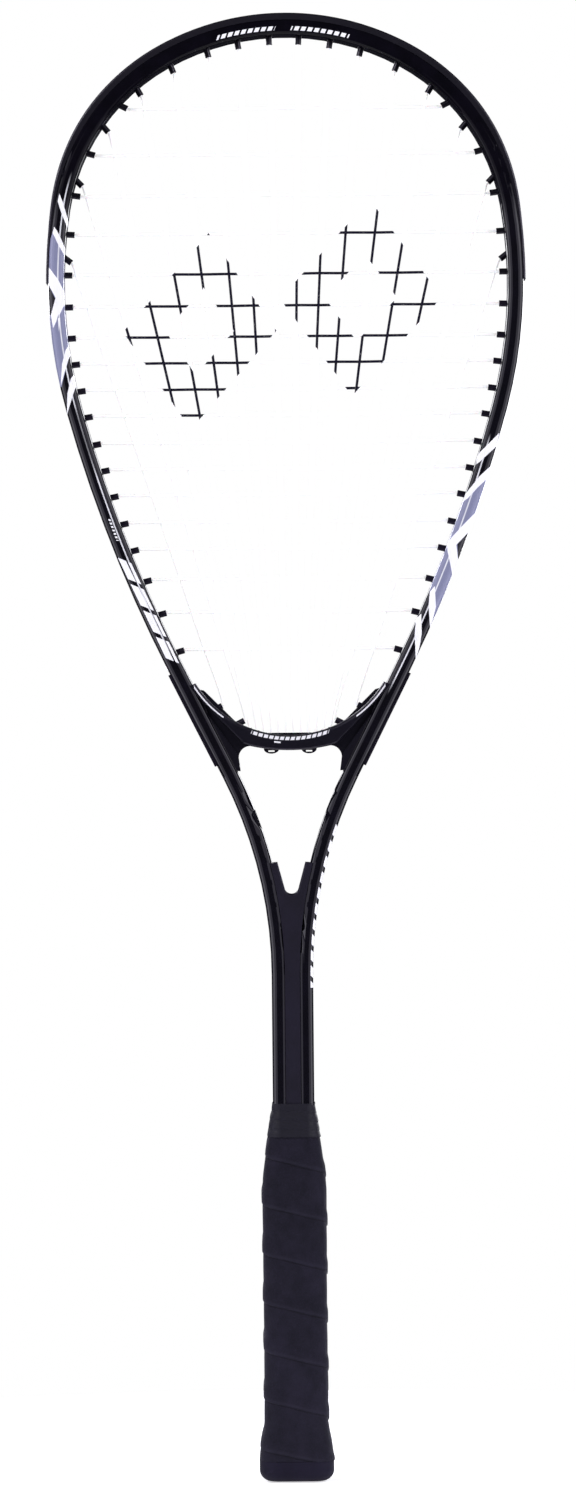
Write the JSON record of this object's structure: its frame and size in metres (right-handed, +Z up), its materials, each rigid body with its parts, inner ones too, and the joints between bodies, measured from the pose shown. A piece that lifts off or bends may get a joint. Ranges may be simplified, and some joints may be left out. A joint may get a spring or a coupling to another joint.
{
  "type": "squash racket",
  "caption": "Full-length squash racket: bent tubular frame with an open throat, fan-strung head, moulded throat bridge and a spiral-wrapped grip with a flared butt.",
  "frame": {"origin": "centre of the butt cap's flat end face", "axes": "+Z up the racket's long axis to the tip of the head, X across the string bed, Y normal to the string bed with the front face towards -Y"},
  "size_m": [0.2238, 0.0312, 0.6849],
  "materials": {
    "frame_paint": "gloss black paint over an aluminium tube, with printed stripes",
    "bumper_plastic": "semi-gloss black moulded nylon",
    "grommet_plastic": "satin black moulded nylon",
    "bridge_plastic": "semi-gloss black moulding",
    "wedge_plastic": "satin black moulding",
    "rivet_metal": "plain aluminium",
    "string": "white synthetic string with a black ink pattern",
    "pallet_plastic": "moulded foam-filled plastic",
    "screw_steel": "zinc-plated steel",
    "butt_cap_rubber": "matt black",
    "grip": "suede-like synthetic wrap, matt black",
    "tape": "satin black finishing tape"
  },
  "bodies": {
    "root": {"frame_tube": "frame_paint", "head_bumper": "bumper_plastic", "grommet_strip_left": "grommet_plastic", "grommet_strip_right": "grommet_plastic", "throat_bridge": "bridge_plastic", "bridge_grommet_strip": "grommet_plastic", "bridge_rivets": "rivet_metal", "shaft_wedge": "wedge_plastic", "wedge_rivet": "rivet_metal", "main_strings": "string", "cross_strings": "string", "string_knots": "string", "pallet_front": "pallet_plastic", "pallet_back": "pallet_plastic", "pallet_screws": "screw_steel", "butt_cap": "butt_cap_rubber", "butt_cap_tacks": "screw_steel", "grip_staple": "screw_steel", "grip_wrap": "grip", "finishing_tape": "tape"}
  },
  "joints": []
}
